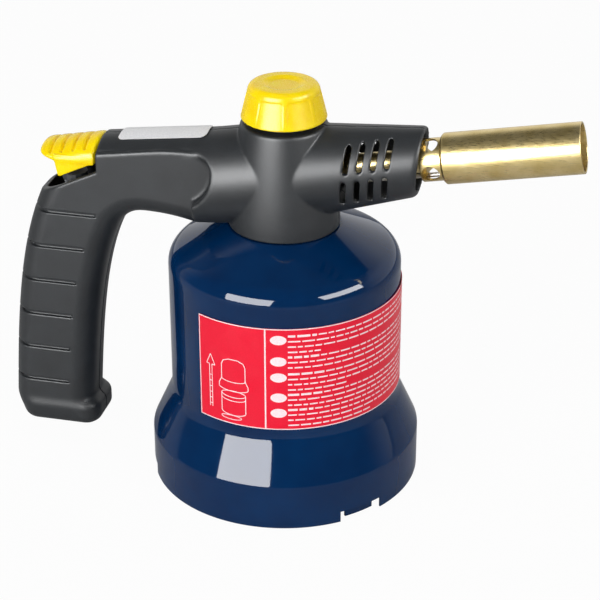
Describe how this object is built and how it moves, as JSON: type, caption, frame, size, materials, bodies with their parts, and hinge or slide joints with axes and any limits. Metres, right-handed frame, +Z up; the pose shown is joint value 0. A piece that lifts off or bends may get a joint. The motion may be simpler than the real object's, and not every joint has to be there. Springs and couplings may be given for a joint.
{
  "type": "blow lamp",
  "caption": "Cartridge blow lamp: flared steel bell round a pierceable gas cartridge, moulded head with curved handle, igniter trigger, regulator knob and brass burner tube.",
  "frame": {"origin": "centre of the lamp's outline seen from above, on the surface that the bell's rim stands on", "axes": "+X towards the burner's mouth, -X towards the handle, +Z up along the bell and the regulator knob"},
  "size_m": [0.2382, 0.112, 0.1716],
  "materials": {
    "body_plastic": "satin charcoal moulding with a fine grain",
    "yellow_plastic": "glossy yellow moulding",
    "bell_paint": "glossy navy stove enamel on drawn steel",
    "brass": "drawn brass, bright",
    "steel": "zinc plated",
    "red_sticker": "glossy printed film",
    "silver_sticker": "silver film",
    "rubber": "nitrile seal",
    "ceramic": "glazed ceramic",
    "cartridge_paint": "plain lacquered tinplate",
    "igniter_plastic": "moulded",
    "wire_black": "insulated lead",
    "wire_green": "insulated lead"
  },
  "bodies": {
    "lamp": {"bell": "bell_paint", "bell_label": "red_sticker", "right_shell": "body_plastic", "left_shell": "body_plastic", "shell_screw_1": "steel", "shell_screw_2": "steel", "shell_screw_3": "steel", "shell_screw_4": "steel", "shell_screw_5": "steel", "handle_label": "silver_sticker", "piezo_body": "igniter_plastic", "trigger_spring": "steel", "ignition_wire": "wire_black", "earth_wire": "wire_green", "valve_body": "brass", "retaining_nut": "steel", "piercing_needle": "steel", "cartridge_seal": "rubber", "gland_seal": "rubber", "gland_nut": "brass", "gas_tube": "brass", "jet": "brass", "burner_collar": "brass", "burner_tube": "brass", "flame_holder": "steel", "electrode": "steel", "electrode_sleeve": "ceramic"},
    "knob": {"regulator_knob": "yellow_plastic", "spindle": "steel"},
    "needle": {"valve_needle": "steel"},
    "trigger": {"trigger": "yellow_plastic", "piezo_plunger": "igniter_plastic"},
    "cup": {"cartridge_cup": "steel", "gas_cartridge": "cartridge_paint"}
  },
  "joints": [
    {"name": "knob_turn", "type": "hinge", "parent": "lamp", "child": "knob", "pos_m": [-0.00048, 0, 0.16], "axis": [0, 0, 1], "range_deg": [0, 450]},
    {"name": "needle_lift", "type": "slide", "parent": "lamp", "child": "needle", "axis": [0, 0, 1], "range_m": [0, 0.0015]},
    {"name": "trigger_press", "type": "slide", "parent": "lamp", "child": "trigger", "axis": [0, 0, -1], "range_m": [0, 0.0028], "stiffness_N_per_m": 1500, "springref_m": -0.002, "deforming": ["trigger_spring"]},
    {"name": "cup_turn", "type": "hinge", "parent": "lamp", "child": "cup", "pos_m": [-0.00048, 0, 0.006], "axis": [0, 0, 1], "range_deg": [-25, 0]}
  ],
  "couplings": [
    {"joint": "needle_lift", "follows": "knob_turn", "m_per_rad": 0.00019098}
  ]
}
